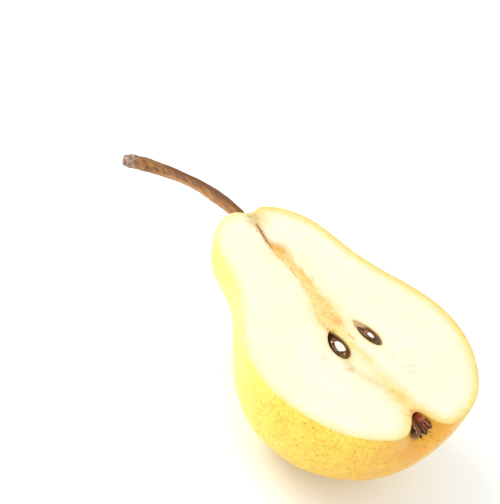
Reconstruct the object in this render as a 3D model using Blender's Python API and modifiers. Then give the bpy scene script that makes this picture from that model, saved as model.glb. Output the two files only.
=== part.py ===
"""Half a pear, as cut from stem to calyx: fruit, stem, two seeds, dried sepals and stamens.

Every piece hangs from one empty, whose own axes are the pear's: Z runs up the core from the broad
end to the neck, Y points out of the cut face, X goes across the cut face. The empty lays the half
on its rounded side, with the cut face level and facing up, and the world's origin at the middle of
the small flat spot that it rests on.
"""
import math

import bmesh
import bpy
from mathutils import Euler, Matrix, Vector

# ---- the fruit, in metres -----------------------------------------------------------------------
BODY_LENGTH = 0.0854        # broad end to the tip of the neck, along the core
BULB_RADIUS = 0.0350        # half the width of the cut face at its widest
BELLY_DEPTH = 0.0371        # cut face to the lowest point of the rounded side
DEEPER = BELLY_DEPTH / BULB_RADIUS
WIDER_SIDE = 0.059          # how much more the +X side bulges, and the -X side less, as a share
NECK_LEAN = 0.0021          # how far the middle of the core bows towards -X
HEEL_DEPTH = 0.0015         # extra fullness low on the belly, so that it lies still
HEEL_ALONG = 0.492 * BODY_LENGTH    # its middle, from the broad end
HEEL_SPREAD = 0.234 * BODY_LENGTH   # half its length
HEEL_TIGHTNESS = 6          # how soon it fades up the sides

# Half outline as (share of BODY_LENGTH from the broad end, share of BULB_RADIUS): from the dimple
# at the stem, over the neck and the bulb, round the lip of the calyx basin and down to its floor.
OUTLINE = (
    (0.984, 0.000), (0.990, 0.055), (1.000, 0.125), (0.994, 0.215), (0.970, 0.335),
    (0.909, 0.477), (0.818, 0.556), (0.727, 0.616), (0.636, 0.724), (0.545, 0.863),
    (0.455, 0.964), (0.364, 1.000), (0.273, 0.971), (0.182, 0.879), (0.091, 0.717),
    (0.043, 0.565), (0.014, 0.405), (0.002, 0.270), (0.014, 0.170), (0.045, 0.092),
    (0.073, 0.040), (0.080, 0.000),
)
OUTLINE_STEPS = 3           # straight pieces between two of those points
ROUND_STEPS = 72            # facets round the whole fruit

# ---- how it rests -------------------------------------------------------------------------------
REST_ALONG = 0.381 * BODY_LENGTH    # middle of the flat spot, from the broad end
REST_SHAVE = 0.0009                 # how far the flat spot lies inside BELLY_DEPTH
REST_HALF_WIDTH = 0.28 * BULB_RADIUS    # half the width of the flat spot that comes of it
CUT_HEIGHT = BELLY_DEPTH - REST_SHAVE

# ---- seed chambers and seeds --------------------------------------------------------------------
CHAMBER_LENGTH = 0.0104
CHAMBER_WIDTH = 0.0057
CHAMBER_DEPTH = 0.0028      # below the cut face
SEED_GAP = 0.0003           # least room between a seed and the wall of its chamber
SEED_FLATNESS = 0.43        # thickness of a whole seed as a share of its width
# Middle of each: across as a share of BULB_RADIUS, along as a share of BODY_LENGTH; and the
# degrees that its broad end leans away from the core.
CHAMBER_LEFT = (0.171, 0.393, 9.0)
CHAMBER_RIGHT = (-0.154, 0.410, 13.0)
RIGHT_NARROWER = 0.80       # the right chamber is cut nearer its edge, so it shows narrower
# Its seed: the size as a share of what the chamber has room for, how far the seed has slipped
# towards the broad end as a share of the chamber's length, and the share of the seed's half
# thickness that the knife left above its middle.
SEED_LEFT = (0.86, 0.03, 0.72)
SEED_RIGHT = (0.82, 0.045, 0.86)

# ---- stem ---------------------------------------------------------------------------------------
STEM_RADIUS = 0.00140       # at its middle
STEM_BASE_RADIUS = 0.0016
STEM_KNOB_RADIUS = 0.00205
STEM_BELOW_CUT = 0.0026     # centre of the stem's root, below the cut face
STEM_ACROSS = 0.0015        # centre of the stem's root, towards +X
STEM_REACH = 0.0336         # how far the stem stands above the neck, along the core
STEM_SWAY = 0.0158          # how far its tip leans towards +X
STEM_DROP = 0.0055          # how far its tip sinks below its root
STEM_ROOT = 0.0040          # how much of it sits in the neck
STEM_GAP = 0.0003

# ---- calyx --------------------------------------------------------------------------------------
SEPALS = 4
SEPAL_LENGTH = 0.0046
SEPAL_WIDTH = 0.0021
SEPAL_THICKNESS = 0.0005
SEPAL_GAP = 0.0003
SEPAL_ROWS = 6
SEPAL_RING = 0.055 * BULB_RADIUS        # distance of their feet from the core
SEPAL_FOOT_ALONG = 0.051 * BODY_LENGTH  # their feet, from the broad end
SEPAL_BELOW_CUT = 0.008 * BELLY_DEPTH   # the ring of feet, below the cut face
SEPAL_FLARES = (30.0, 8.0, 8.0, 6.0)    # degrees that each blade leans away from the core
SEPAL_CURL = 24.0           # degrees that its tip has curled on
SEPAL_FAN = 128.0           # degrees round the core that the row of sepals spans
STAMENS = 3
STAMEN_RADIUS = 0.00035
STAMEN_LENGTH = 0.0060
STAMEN_SPACING = 0.027 * BULB_RADIUS
STAMEN_FOOT_ALONG = 0.066 * BODY_LENGTH
STAMEN_BELOW_CUT = 0.019 * BELLY_DEPTH


def clear_scene():
    for old in list(bpy.data.objects):
        bpy.data.objects.remove(old, do_unlink=True)


def new_collection(name, hidden=False):
    collection = bpy.data.collections.new(name)
    collection.hide_render = hidden
    bpy.context.scene.collection.children.link(collection)
    return collection


clear_scene()
PEAR = new_collection("pear")
CUTTERS = new_collection("cutters", hidden=True)


def material(name, colour, roughness):
    made = bpy.data.materials.new(name)
    made.use_nodes = True
    shader = made.node_tree.nodes["Principled BSDF"]
    shader.inputs["Base Color"].default_value = (*colour, 1.0)
    shader.inputs["Roughness"].default_value = roughness
    shader.inputs["Metallic"].default_value = 0.0
    made.diffuse_color = (*colour, 1.0)
    return made


FLESH = material("pear_flesh", (0.93, 0.88, 0.58), 0.45)
BARK = material("stem_bark", (0.30, 0.17, 0.09), 0.60)
SEED_COAT = material("seed_coat", (0.07, 0.035, 0.02), 0.25)
DRIED_LEAF = material("dried_sepal", (0.22, 0.11, 0.05), 0.75)
DRIED_STAMEN = material("dried_stamen", (0.33, 0.17, 0.10), 0.70)


def core_lean(share):
    """Where the core runs across the fruit, at a share of its length."""
    return -NECK_LEAN * 4.0 * share * (1.0 - share)


def core_empty():
    """The pear's own axes: its Z lies towards -X in the world, its Y points up."""
    empty = bpy.data.objects.new("pear_core", None)
    PEAR.objects.link(empty)
    turn = Matrix(((0, 0, -1), (-1, 0, 0), (0, 1, 0)))
    empty.rotation_euler = turn.to_euler()
    rest_across = core_lean(REST_ALONG / BODY_LENGTH) + WIDER_SIDE * REST_HALF_WIDTH
    empty.location = (REST_ALONG, rest_across, CUT_HEIGHT)
    return empty


CORE = core_empty()


def add(name, mesh, look, location=(0, 0, 0), turn=(0, 0, 0)):
    """One sub-part, placed in the pear's own axes."""
    made = bpy.data.objects.new(name, mesh)
    mesh.materials.clear()
    mesh.materials.append(look)
    made.parent = CORE
    made.location = location
    made.rotation_euler = turn
    PEAR.objects.link(made)
    return made


def add_cutter(name, mesh, location=(0, 0, 0), turn=(0, 0, 0)):
    made = bpy.data.objects.new(name, mesh)
    made.parent = CORE
    made.location = location
    made.rotation_euler = turn
    made.hide_render = True
    made.display_type = "WIRE"
    CUTTERS.objects.link(made)
    return made


def evaluated_mesh(thing, name):
    """The mesh of an object with its modifiers applied. The object itself is removed."""
    CUTTERS.objects.link(thing)
    bpy.context.view_layer.update()
    graph = bpy.context.evaluated_depsgraph_get()
    mesh = bpy.data.meshes.new_from_object(thing.evaluated_get(graph), depsgraph=graph)
    mesh.name = name
    bpy.data.objects.remove(thing, do_unlink=True)
    work = bmesh.new()
    work.from_mesh(mesh)
    bmesh.ops.remove_doubles(work, verts=work.verts, dist=1e-6)
    work.to_mesh(mesh)
    work.free()
    return mesh


def face_outwards(mesh):
    work = bmesh.new()
    work.from_mesh(mesh)
    bmesh.ops.recalc_face_normals(work, faces=work.faces)
    work.to_mesh(mesh)
    work.free()


def smooth(mesh, on=True):
    mesh.polygons.foreach_set("use_smooth", [on] * len(mesh.polygons))


def smooth_line(name, points, steps):
    """An open smooth curve through the points."""
    curve = bpy.data.curves.new(name, "CURVE")
    curve.dimensions = "3D"
    curve.resolution_u = steps
    line = curve.splines.new("BEZIER")
    line.bezier_points.add(len(points) - 1)
    for knot, point in zip(line.bezier_points, points):
        knot.co = point
        knot.handle_left_type = "AUTO"
        knot.handle_right_type = "AUTO"
    return curve


def turned(name, outline, line_steps, round_steps):
    """The solid that a half outline of (radius, height) points makes when it turns about Z."""
    curve = smooth_line(name, [(radius, 0, height) for radius, height in outline], line_steps)
    half = evaluated_mesh(bpy.data.objects.new(name, curve), name + "_outline")
    half.vertices[0].co.x = 0.0
    half.vertices[-1].co.x = 0.0
    spinning = bpy.data.objects.new(name, half)
    screw = spinning.modifiers.new("turn", "SCREW")
    screw.axis = "Z"
    screw.steps = round_steps
    screw.render_steps = round_steps
    screw.use_merge_vertices = True
    screw.merge_threshold = 0.00001
    solid = evaluated_mesh(spinning, name)
    face_outwards(solid)
    return solid


def grow(mesh):
    """Makes the turned shape a grown one: one side fuller, the core bowed, a heel on the belly."""
    for vertex in mesh.vertices:
        across, out, along = vertex.co
        fuller = 1.0 + math.copysign(WIDER_SIDE, across)
        near = max(0.0, 1.0 - ((along - HEEL_ALONG) / HEEL_SPREAD) ** 2)
        down = max(0.0, -out / max(math.hypot(across, out), 1e-9))
        share = min(max(along / BODY_LENGTH, 0.0), 1.0)
        vertex.co.x = across * fuller + core_lean(share)
        vertex.co.y = out * DEEPER - HEEL_DEPTH * near ** 2 * down ** HEEL_TIGHTNESS
    return mesh


def block(name, low, high):
    """A box between two corners, as a mesh."""
    work = bmesh.new()
    bmesh.ops.create_cube(work, size=1.0)
    size = Vector(high) - Vector(low)
    middle = (Vector(high) + Vector(low)) / 2.0
    bmesh.ops.scale(work, vec=size, verts=work.verts)
    bmesh.ops.translate(work, vec=middle, verts=work.verts)
    mesh = bpy.data.meshes.new(name)
    work.to_mesh(mesh)
    work.free()
    return mesh


def kernel(name, length, width, thickness, line_steps, round_steps):
    """A flattened drop, as a pear seed is: blunt end towards -Z, point towards +Z."""
    shares = ((0.0, 0.50), (0.06, 0.475), (0.22, 0.37), (0.38, 0.21), (0.48, 0.03),
              (0.50, -0.12), (0.42, -0.30), (0.26, -0.43), (0.11, -0.485), (0.0, -0.50))
    outline = [(width * out, length * up) for out, up in shares]
    mesh = turned(name, outline, line_steps, round_steps)
    for vertex in mesh.vertices:
        vertex.co.y *= thickness / width
    return mesh


def chamber_spots():
    """(name, middle, turn, width, seed) of the two seed chambers that the cut opened."""
    for name, spot, narrower, seed in (
        ("left", CHAMBER_LEFT, 1.0, SEED_LEFT),
        ("right", CHAMBER_RIGHT, RIGHT_NARROWER, SEED_RIGHT),
    ):
        middle = Vector((spot[0] * BULB_RADIUS, 0, spot[1] * BODY_LENGTH))
        outwards = math.copysign(math.radians(spot[2]), middle.x)
        yield name, middle, -outwards, CHAMBER_WIDTH * narrower, seed


def stem_path(deeper):
    """The middle line of the stem, from inside the neck to its thick tip."""
    root = Vector((STEM_ACROSS, -STEM_BELOW_CUT, BODY_LENGTH))
    inside = -(STEM_ROOT + deeper) / STEM_REACH
    reach = ((inside, -0.02, -0.01), (0.0, 0.0, 0.0), (0.27, 0.115, 0.10),
             (0.56, 0.335, 0.34), (0.84, 0.70, 0.70), (0.96, 0.91, 0.92), (1.0, 1.0, 1.0))
    for up, sway, drop in reach:
        offset = Vector((STEM_SWAY * sway, -STEM_DROP * drop, STEM_REACH * up))
        yield root + offset


def stem_curve(name, wider=0.0):
    widths = (STEM_BASE_RADIUS, STEM_BASE_RADIUS, 1.05 * STEM_BASE_RADIUS, STEM_RADIUS,
              1.24 * STEM_RADIUS, STEM_KNOB_RADIUS, 0.90 * STEM_KNOB_RADIUS)
    curve = smooth_line(name, list(stem_path(wider)), 5)
    curve.bevel_depth = 1.0
    curve.bevel_resolution = 3
    curve.use_fill_caps = True
    for knot, width in zip(curve.splines[0].bezier_points, widths):
        knot.radius = width + wider
    mesh = evaluated_mesh(bpy.data.objects.new(name, curve), name)
    face_outwards(mesh)
    return mesh


def fruit_half():
    outline = [(BULB_RADIUS * out, BODY_LENGTH * along) for along, out in OUTLINE]
    mesh = grow(turned("fruit_half", outline, OUTLINE_STEPS, ROUND_STEPS))
    smooth(mesh)
    fruit = add("fruit_half", mesh, FLESH)
    wide = 2.0 * BULB_RADIUS
    far = 2.0 * BODY_LENGTH
    cuts = [
        add_cutter("other_half", block("other_half", (-wide, 0, -far), (wide, wide, far))),
        add_cutter("table", block("table", (-wide, -wide, -far), (wide, -CUT_HEIGHT, far))),
        add_cutter("stem_hole", stem_curve("stem_hole", wider=STEM_GAP)),
    ]
    for name, middle, turn, width, _ in chamber_spots():
        hollow = kernel("chamber_" + name, CHAMBER_LENGTH, width, 2.0 * CHAMBER_DEPTH, 2, 20)
        cuts.append(add_cutter("chamber_" + name, hollow, middle, (0, turn, 0)))
    for cutter in cuts:
        cut = fruit.modifiers.new(cutter.name, "BOOLEAN")
        cut.operation = "DIFFERENCE"
        cut.solver = "EXACT"
        cut.object = cutter
    return fruit


def seeds():
    """Each seed lies in its chamber, and the knife has sliced it level with the cut face."""
    knife = block("knife", (-CHAMBER_WIDTH, 0, -CHAMBER_LENGTH),
                  (CHAMBER_WIDTH, CHAMBER_WIDTH, CHAMBER_LENGTH))
    for name, middle, turn, width, (size, slipped, left_above) in chamber_spots():
        length = size * (CHAMBER_LENGTH - 2.0 * SEED_GAP)
        narrow = size * (width - 2.0 * SEED_GAP)
        thickness = SEED_FLATNESS * CHAMBER_WIDTH * size
        whole = kernel("seed_" + name, length, narrow, thickness, 2, 24)
        smooth(whole)
        slip = Vector((0, 0, -slipped * CHAMBER_LENGTH))
        slip.rotate(Euler((0, turn, 0)))
        sunk = Vector((0, -left_above * thickness / 2.0, 0))
        seed = add("seed_" + name, whole, SEED_COAT, middle + slip + sunk, (0, turn, 0))
        slice_off = seed.modifiers.new("knife", "BOOLEAN")
        slice_off.operation = "DIFFERENCE"
        slice_off.solver = "EXACT"
        slice_off.object = add_cutter("knife_" + name, knife, middle, (0, turn, 0))


def stem():
    mesh = stem_curve("stem")
    smooth(mesh)
    return add("stem", mesh, BARK)


def sepal(number):
    """A narrow dried blade that leans out of the basin and curls at its tip."""
    apart = math.radians(SEPAL_FAN / (SEPALS - 1))
    work = bmesh.new()
    rows = []
    place = Vector((0, 0, 0))
    for row in range(SEPAL_ROWS + 1):
        share = row / SEPAL_ROWS
        from_core = SEPAL_RING - place.y - SEPAL_THICKNESS
        room = from_core * math.tan(apart / 2.0) - SEPAL_GAP / 2.0
        leaf = 0.5 + 0.5 * math.sin(math.pi * min(1.1 * share, 1.0))
        half = min(0.5 * SEPAL_WIDTH * leaf * (1.0 - 0.3 * share), room)
        cup = 0.18 * half
        rows.append([work.verts.new(place + Vector((side * half, -cup * abs(side), 0)))
                     for side in (-1, 0, 1)])
        lean = math.radians(SEPAL_FLARES[number] + SEPAL_CURL * share ** 2)
        place = place - Vector((0, math.sin(lean), math.cos(lean))) * SEPAL_LENGTH / SEPAL_ROWS
    for lower, upper in zip(rows, rows[1:]):
        for left in range(2):
            work.faces.new((lower[left], lower[left + 1], upper[left + 1], upper[left]))
    mesh = bpy.data.meshes.new("sepal")
    work.to_mesh(mesh)
    work.free()
    smooth(mesh)
    round_core = apart * (number - (SEPALS - 1) / 2.0)
    foot = Vector((math.sin(round_core), -math.cos(round_core) * DEEPER, 0)) * SEPAL_RING
    core = core_lean(SEPAL_FOOT_ALONG / BODY_LENGTH)
    place = foot + Vector((core, -SEPAL_BELOW_CUT, SEPAL_FOOT_ALONG))
    made = add("sepal_%d" % (number + 1), mesh, DRIED_LEAF, place, (0, 0, round_core))
    thick = made.modifiers.new("thickness", "SOLIDIFY")
    thick.thickness = SEPAL_THICKNESS
    thick.offset = 0.0
    return made


def stamen(number):
    """A dried thread from the middle of the calyx."""
    across = STAMEN_SPACING * (number - (STAMENS - 1) / 2.0)
    core = core_lean(STAMEN_FOOT_ALONG / BODY_LENGTH)
    foot = Vector((core + across, -STAMEN_BELOW_CUT, STAMEN_FOOT_ALONG))
    points = [foot,
              foot + Vector((0.10 * across, -0.0002, -0.4 * STAMEN_LENGTH)),
              foot + Vector((0.45 * across, 0.0, -STAMEN_LENGTH * (1.0 - 0.06 * number)))]
    curve = smooth_line("stamen", points, 4)
    curve.bevel_depth = STAMEN_RADIUS
    curve.bevel_resolution = 1
    curve.use_fill_caps = True
    mesh = evaluated_mesh(bpy.data.objects.new("stamen", curve), "stamen")
    face_outwards(mesh)
    smooth(mesh)
    return add("stamen_%d" % (number + 1), mesh, DRIED_STAMEN)


fruit_half()
seeds()
stem()
for number in range(SEPALS):
    sepal(number)
for number in range(STAMENS):
    stamen(number)
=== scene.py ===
"""Half a pear lying on its rounded side, cut face up: the pieces that carry the looks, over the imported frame.

The shapes are made in the pear's own axes, in millimetres: x across the cut face, y out of it, z up the
core from the broad end to the neck. world() turns them to the frame's axes, in metres.
"""
import math

import bpy
import numpy as np
from mathutils import Matrix, Vector
from mathutils.geometry import delaunay_2d_cdt

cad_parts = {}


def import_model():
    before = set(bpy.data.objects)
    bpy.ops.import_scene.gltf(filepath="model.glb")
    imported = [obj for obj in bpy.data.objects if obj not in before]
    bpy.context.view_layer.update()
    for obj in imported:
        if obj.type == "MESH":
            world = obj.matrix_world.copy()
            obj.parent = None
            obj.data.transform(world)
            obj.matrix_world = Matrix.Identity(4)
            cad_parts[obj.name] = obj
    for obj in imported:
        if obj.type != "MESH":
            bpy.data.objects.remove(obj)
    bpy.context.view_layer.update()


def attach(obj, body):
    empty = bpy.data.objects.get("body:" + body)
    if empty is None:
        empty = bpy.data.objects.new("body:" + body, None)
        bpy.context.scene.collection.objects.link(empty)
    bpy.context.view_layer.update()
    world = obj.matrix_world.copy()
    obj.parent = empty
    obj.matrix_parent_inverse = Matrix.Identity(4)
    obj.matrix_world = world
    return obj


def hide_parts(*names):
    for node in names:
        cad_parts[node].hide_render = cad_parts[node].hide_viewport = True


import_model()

PIECES = bpy.data.collections.new("pieces")
bpy.context.scene.collection.children.link(PIECES)

# ---- camera --------------------------------------------------------------------------------------
AIM = Vector((-0.0432, -0.0049, 0.0298))
AZIMUTH, ELEVATION, ROLL = math.radians(38.95), math.radians(38.13), math.radians(24.58)
DISTANCE = 0.6602
LENS = 172.35

# ---- the fruit, in millimetres, as in the CAD ----------------------------------------------------
BODY_LENGTH = 85.4
BULB_RADIUS = 35.0
BELLY_DEPTH = 37.1
DEEPER = BELLY_DEPTH / BULB_RADIUS
WIDER_SIDE = 0.059
NECK_LEAN = 2.1
HEEL_DEPTH = 1.5
HEEL_ALONG = 0.492 * BODY_LENGTH
HEEL_SPREAD = 0.234 * BODY_LENGTH
HEEL_TIGHTNESS = 6
OUTLINE = (
    (0.984, 0.000), (0.990, 0.055), (1.000, 0.125), (0.994, 0.215), (0.970, 0.335),
    (0.909, 0.477), (0.818, 0.556), (0.727, 0.616), (0.636, 0.724), (0.545, 0.863),
    (0.455, 0.964), (0.364, 1.000), (0.273, 0.971), (0.182, 0.879), (0.091, 0.717),
    (0.043, 0.565), (0.014, 0.405), (0.002, 0.270), (0.014, 0.170), (0.045, 0.092),
    (0.073, 0.040), (0.080, 0.000),
)
REST_ALONG = 0.381 * BODY_LENGTH
CUT_HEIGHT = BELLY_DEPTH - 0.9
REST_HALF_WIDTH = 0.28 * BULB_RADIUS

CHAMBER_LENGTH, CHAMBER_WIDTH, CHAMBER_DEPTH = 10.4, 5.7, 2.8
LIT_WAY = (0.62, -0.78)     # across and along: the way the left chamber's wall faces where it is painted pale as lit
SEED_GAP, SEED_FLATNESS = 0.3, 0.43
CHAMBERS = {  # across, along, lean in degrees, width
    "left": (0.171 * BULB_RADIUS, 0.393 * BODY_LENGTH, 9.0, CHAMBER_WIDTH),
    "right": (-0.154 * BULB_RADIUS, 0.410 * BODY_LENGTH, -13.0, 0.80 * CHAMBER_WIDTH),
}
SEEDS = {"left": (0.86, 0.03, 0.72), "right": (0.82, 0.045, 0.86)}  # size, slipped, share left above
KERNEL = (
    (0.0, 0.50), (0.06, 0.475), (0.22, 0.37), (0.38, 0.21), (0.48, 0.03),
    (0.50, -0.12), (0.42, -0.30), (0.26, -0.43), (0.11, -0.485), (0.0, -0.50),
)

STEM_RADIUS, STEM_BASE_RADIUS, STEM_KNOB_RADIUS = 1.40, 1.6, 2.05
STEM_ROOT_AT = Vector((1.5, -2.6, BODY_LENGTH))
STEM_REACH, STEM_SWAY, STEM_DROP, STEM_ROOT = 33.6, 15.8, 5.5, 4.0
STEM_PATH = (  # share of reach, sway and drop, and the radius there
    (-STEM_ROOT / STEM_REACH, -0.02, -0.01, STEM_BASE_RADIUS),
    (0.00, 0.000, 0.00, STEM_BASE_RADIUS),
    (0.27, 0.115, 0.10, 1.05 * STEM_BASE_RADIUS),
    (0.56, 0.335, 0.34, STEM_RADIUS),
    (0.84, 0.700, 0.70, 1.24 * STEM_RADIUS),
    (0.96, 0.910, 0.92, STEM_KNOB_RADIUS),
    (1.00, 1.000, 1.00, 0.90 * STEM_KNOB_RADIUS),
)

SEPALS, SEPAL_LENGTH, SEPAL_WIDTH, SEPAL_THICKNESS = 4, 4.6, 2.1, 0.5
SEPAL_RING, SEPAL_FOOT_ALONG, SEPAL_BELOW_CUT = 0.055 * BULB_RADIUS, 0.051 * BODY_LENGTH, 0.008 * BELLY_DEPTH
SEPAL_FLARES, SEPAL_CURL, SEPAL_FAN = (30.0, 8.0, 8.0, 6.0), 24.0, 128.0
STAMENS, STAMEN_RADIUS, STAMEN_LENGTH, STAMEN_SPACING = 3, 0.35, 6.0, 0.027 * BULB_RADIUS
STAMEN_FOOT_ALONG, STAMEN_BELOW_CUT = 0.066 * BODY_LENGTH, 0.019 * BELLY_DEPTH

# ---- finer than the CAD --------------------------------------------------------------------------
OUTLINE_STEPS = 8       # curve steps between two points of an outline
HALF_ROUND_STEPS = 150
CHAMBER_STEPS, BOWL_ROWS = 5, 11
SEED_STEPS, SEED_ROUND = 7, 72
STEM_STEPS, STEM_ROUND, STEM_CAP_ROWS = 26, 56, 9
RIM_ROUND = 0.14        # rounding of the knife's edge
SKIN_SWELL = 0.16       # slow unevenness of the skin
FACE_STEP = 0.62        # spacing of the points of the cut face, and near the core
CORE_STEP = 0.17
CORE_REACH = 3.4        # how far from the core and the chambers they are close


def core_lean(share):
    return -NECK_LEAN * 4.0 * share * (1.0 - share)


def world(points):
    """From the pear's own axes in millimetres to the frame's in metres."""
    across = core_lean(REST_ALONG / BODY_LENGTH) + WIDER_SIDE * REST_HALF_WIDTH
    x, y, z = np.asarray(points, float).T
    return np.stack([REST_ALONG - z, across - x, CUT_HEIGHT + y], axis=1) * 0.001


def camera():
    level_back = math.cos(ELEVATION)
    back = Vector((math.sin(AZIMUTH) * level_back, -math.cos(AZIMUTH) * level_back, math.sin(ELEVATION)))
    level = Vector((0, 0, 1)).cross(back).normalized()
    right = level * math.cos(ROLL) + back.cross(level) * math.sin(ROLL)
    cam = bpy.data.objects.new("camera", bpy.data.cameras.new("camera"))
    cam.data.lens = LENS
    cam.data.sensor_width = 36.0
    turn = Matrix((right, back.cross(right), back)).transposed().to_4x4()
    cam.matrix_world = Matrix.Translation(AIM + back * DISTANCE) @ turn
    bpy.context.collection.objects.link(cam)
    bpy.context.scene.camera = cam


# ---- helpers -------------------------------------------------------------------------------------
def waves(points, size, seed, count=7):
    """Smooth unevenness between about -1 and 1, with features about size apart."""
    rng = np.random.default_rng(seed)
    total = 0.0
    for _ in range(count):
        way = rng.normal(size=points.shape[1])
        way *= rng.uniform(0.7, 1.4) * 2.0 * math.pi / (2.0 * size * np.linalg.norm(way))
        total = total + np.sin(points @ way + rng.uniform(0, 2 * math.pi))
    return total / math.sqrt(count)


def smooth_line(points, steps):
    """Points along the smooth curve through the given ones."""
    curve = bpy.data.curves.new("line", "CURVE")
    curve.dimensions = "3D"
    curve.resolution_u = steps
    line = curve.splines.new("BEZIER")
    line.bezier_points.add(len(points) - 1)
    for knot, point in zip(line.bezier_points, points):
        knot.co = point
        knot.handle_left_type = "AUTO"
        knot.handle_right_type = "AUTO"
    thing = bpy.data.objects.new("line", curve)
    PIECES.objects.link(thing)
    bpy.context.view_layer.update()
    found = thing.evaluated_get(bpy.context.evaluated_depsgraph_get()).to_mesh()
    out = np.array([tuple(v.co) for v in found.vertices])
    bpy.data.objects.remove(thing, do_unlink=True)
    bpy.data.curves.remove(curve)
    return out


def bell(away, width):
    """1 in the middle, and next to nothing from twice the width away."""
    return np.exp(-((away / width) ** 2))


def soft_step(values, low, high):
    """0 up to low, 1 from high on, and smooth between them."""
    t = np.clip((values - low) / (high - low), 0, 1)
    return t * t * (3 - 2 * t)


def along_line(points, line):
    """Distance from a polyline, for 2-D points."""
    line = np.asarray(line, float)
    gap = np.full(len(points), np.inf)
    for a, b in zip(line[:-1], line[1:]):
        t = np.clip(((points - a) @ (b - a)) / ((b - a) @ (b - a)), 0, 1)
        gap = np.minimum(gap, np.linalg.norm(points - (a + t[:, None] * (b - a)), axis=1))
    return gap


def from_loop(points, loop):
    """Distance from a closed loop, for 2-D points."""
    return along_line(points, np.concatenate([loop, loop[:1]]))


def inside(points, loop):
    """Which 2-D points lie inside a closed loop."""
    hit = np.zeros(len(points), bool)
    for a, b in zip(loop, np.roll(loop, -1, axis=0)):
        if a[1] == b[1]:
            continue
        crosses = (a[1] > points[:, 1]) != (b[1] > points[:, 1])
        hit ^= crosses & (
            points[:, 0] < (b[0] - a[0]) * (points[:, 1] - a[1]) / (b[1] - a[1]) + a[0]
        )
    return hit


def piece(name, points, faces, looks, node, values=None, look_of=None):
    """A finished piece that stands for one CAD node."""
    mesh = bpy.data.meshes.new(name)
    mesh.from_pydata(world(points).tolist(), [], faces)
    mesh.update()
    for look in looks:
        mesh.materials.append(look)
    if look_of is not None:
        mesh.polygons.foreach_set("material_index", look_of)
    mesh.polygons.foreach_set("use_smooth", [True] * len(mesh.polygons))
    for key, value in (values or {}).items():
        layer = mesh.attributes.new(key, "FLOAT", "POINT")
        layer.data.foreach_set("value", np.asarray(value, np.float32))
    thing = bpy.data.objects.new(name, mesh)
    PIECES.objects.link(thing)
    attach(thing, "root")
    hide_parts(node)
    return thing


def closed_tube(rows, first, last):
    """Points and faces of a tube of rings with a point at each end."""
    round_ = len(rows[0])
    points = np.concatenate(list(rows) + [np.array([first, last])])
    at = (len(rows) - 1) * round_
    faces = []
    for r in range(len(rows) - 1):
        for k in range(round_):
            n = (k + 1) % round_
            faces.append(((r + 1) * round_ + k, (r + 1) * round_ + n, r * round_ + n, r * round_ + k))
    for k in range(round_):
        n = (k + 1) % round_
        faces.append((k, n, len(points) - 2))
        faces.append((at + n, at + k, len(points) - 1))
    return points, faces


# ---- materials -----------------------------------------------------------------------------------
class Look:
    """A material under construction."""

    def __init__(self, name):
        self.made = bpy.data.materials.new(name)
        self.made.use_nodes = True
        self.tree = self.made.node_tree
        self.shader = self.tree.nodes["Principled BSDF"]
        self.place = self.node("ShaderNodeTexCoord").outputs["Object"]

    def node(self, kind, **settings):
        made = self.tree.nodes.new(kind)
        for key, value in settings.items():
            setattr(made, key, value)
        return made

    def put(self, socket, value):
        if isinstance(value, bpy.types.NodeSocket):
            self.tree.links.new(value, socket)
        else:
            socket.default_value = value

    def math(self, operation, a, b):
        made = self.node("ShaderNodeMath", operation=operation)
        self.put(made.inputs[0], a)
        self.put(made.inputs[1], b)
        return made.outputs[0]

    def times(self, a, b):
        return self.math("MULTIPLY", a, b)

    def plus(self, a, b):
        return self.math("ADD", a, b)

    def value(self, name):
        return self.node("ShaderNodeAttribute", attribute_name=name).outputs["Fac"]

    def ramp(self, source, low, high, to_low=0.0, to_high=1.0, interpolation="SMOOTHSTEP"):
        made = self.node("ShaderNodeMapRange", interpolation_type=interpolation)
        sockets = ("Value", "From Min", "From Max", "To Min", "To Max")
        for socket, value in zip(sockets, (source, low, high, to_low, to_high)):
            self.put(made.inputs[socket], value)
        return made.outputs[0]

    def slope(self, source, low, high, to_low, to_high):
        return self.ramp(source, low, high, to_low, to_high, "LINEAR")

    def noise(self, per_mm, detail=3.0, rough=0.5, stretch=None, warp=0.0):
        place = self.place
        if stretch:
            place = self.node("ShaderNodeVectorMath", operation="MULTIPLY")
            self.put(place.inputs[0], self.place)
            place.inputs[1].default_value = stretch
            place = place.outputs[0]
        made = self.node("ShaderNodeTexNoise")
        sockets = ("Vector", "Scale", "Detail", "Roughness", "Distortion")
        for socket, value in zip(sockets, (place, per_mm * 1000.0, detail, rough, warp)):
            self.put(made.inputs[socket], value)
        return made.outputs["Fac"]

    def cells(self, per_mm):
        made = self.node("ShaderNodeTexVoronoi")
        self.put(made.inputs["Vector"], self.place)
        made.inputs["Scale"].default_value = per_mm * 1000.0
        return made.outputs["Distance"]

    def mix(self, factor, a, b):
        made = self.node("ShaderNodeMix", data_type="RGBA")
        self.put(made.inputs[0], factor)
        for socket, value in ((made.inputs[6], a), (made.inputs[7], b)):
            self.put(socket, value if isinstance(value, bpy.types.NodeSocket) else (*value, 1.0))
        return made.outputs[2]

    def bump(self, height, strength, distance_mm, normal=None):
        made = self.node("ShaderNodeBump")
        made.inputs["Strength"].default_value = strength
        made.inputs["Distance"].default_value = distance_mm * 0.001
        self.put(made.inputs["Height"], height)
        if normal is not None:
            self.put(made.inputs["Normal"], normal)
        return made.outputs["Normal"]

    def finish(self, colour, roughness, normal, **settings):
        self.put(self.shader.inputs["Base Color"], colour)
        self.put(self.shader.inputs["Roughness"], roughness)
        self.put(self.shader.inputs["Normal"], normal)
        for key, value in settings.items():
            self.shader.inputs[key.replace("_", " ")].default_value = value
        return self.made


def rgb(red, green, blue):
    """A colour as seen, 0 to 255, in the numbers that a shader takes."""
    def line(v):
        v = v / 255.0
        return v / 12.92 if v <= 0.04045 else ((v + 0.055) / 1.055) ** 2.4

    return (line(red), line(green), line(blue))


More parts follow.
